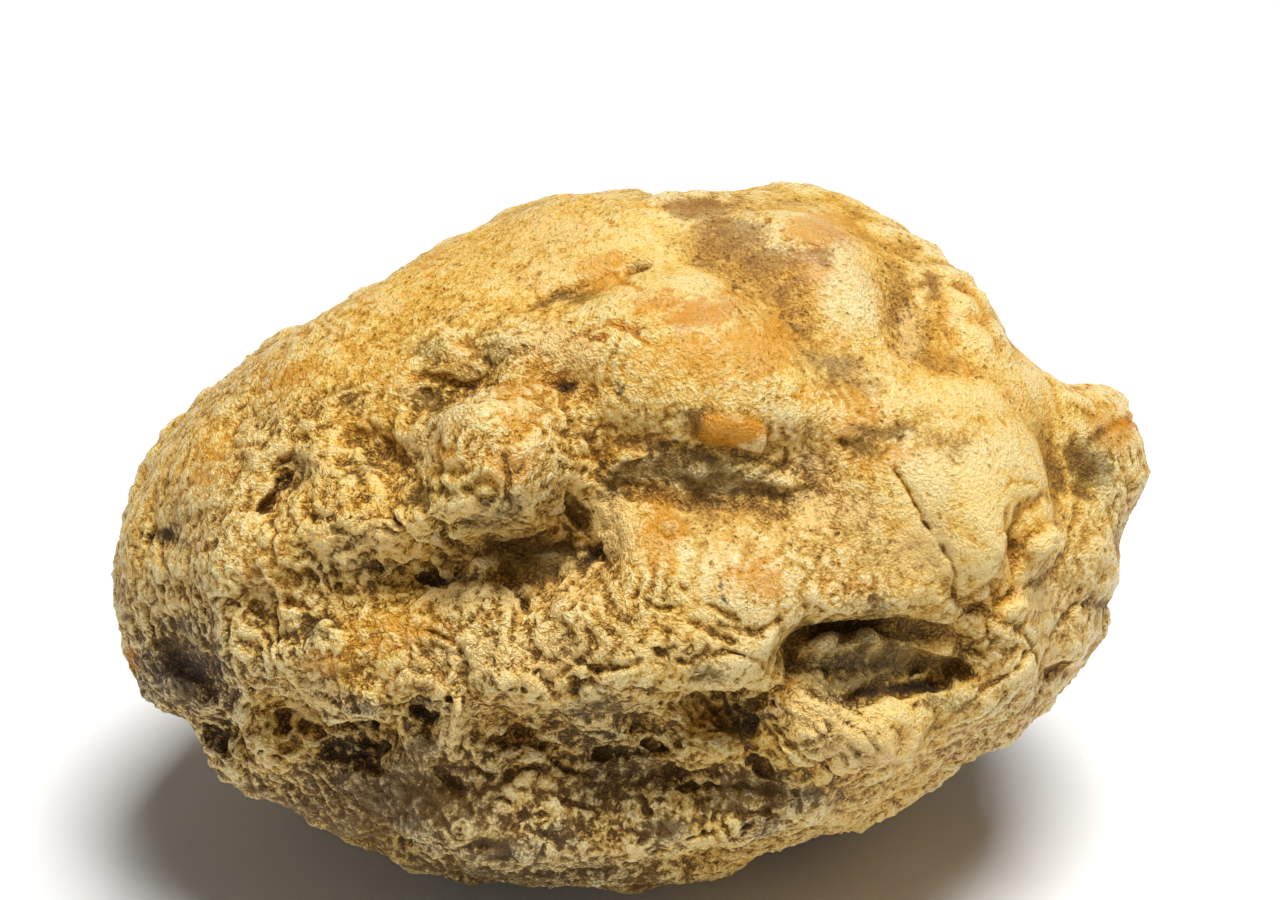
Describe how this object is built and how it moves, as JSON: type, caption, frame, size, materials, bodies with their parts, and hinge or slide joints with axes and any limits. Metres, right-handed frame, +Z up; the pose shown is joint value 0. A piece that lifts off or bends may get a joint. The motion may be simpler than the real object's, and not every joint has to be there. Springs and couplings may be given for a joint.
{
  "type": "unopened geode",
  "caption": "Whole, uncut geode: a lumpy, pitted, cream and ochre nodule with a beaked end, closed all round, resting on a small worn flat.",
  "frame": {"origin": "middle of the bounding box's underside, on the plane that the stone rests on", "axes": "+X along the stone towards its beaked end, +Y towards the back, +Z up; the show face looks towards -Y and tips back by 30 degrees"},
  "size_m": [0.067, 0.051, 0.0463],
  "materials": {
    "crust": "weathered chalcedony crust: knobbly and creased, cream to ochre with orange and olive stains, dark in the pits, dull with a waxy shine on the knobs"
  },
  "bodies": {
    "root": {"geode": "crust"}
  },
  "joints": []
}
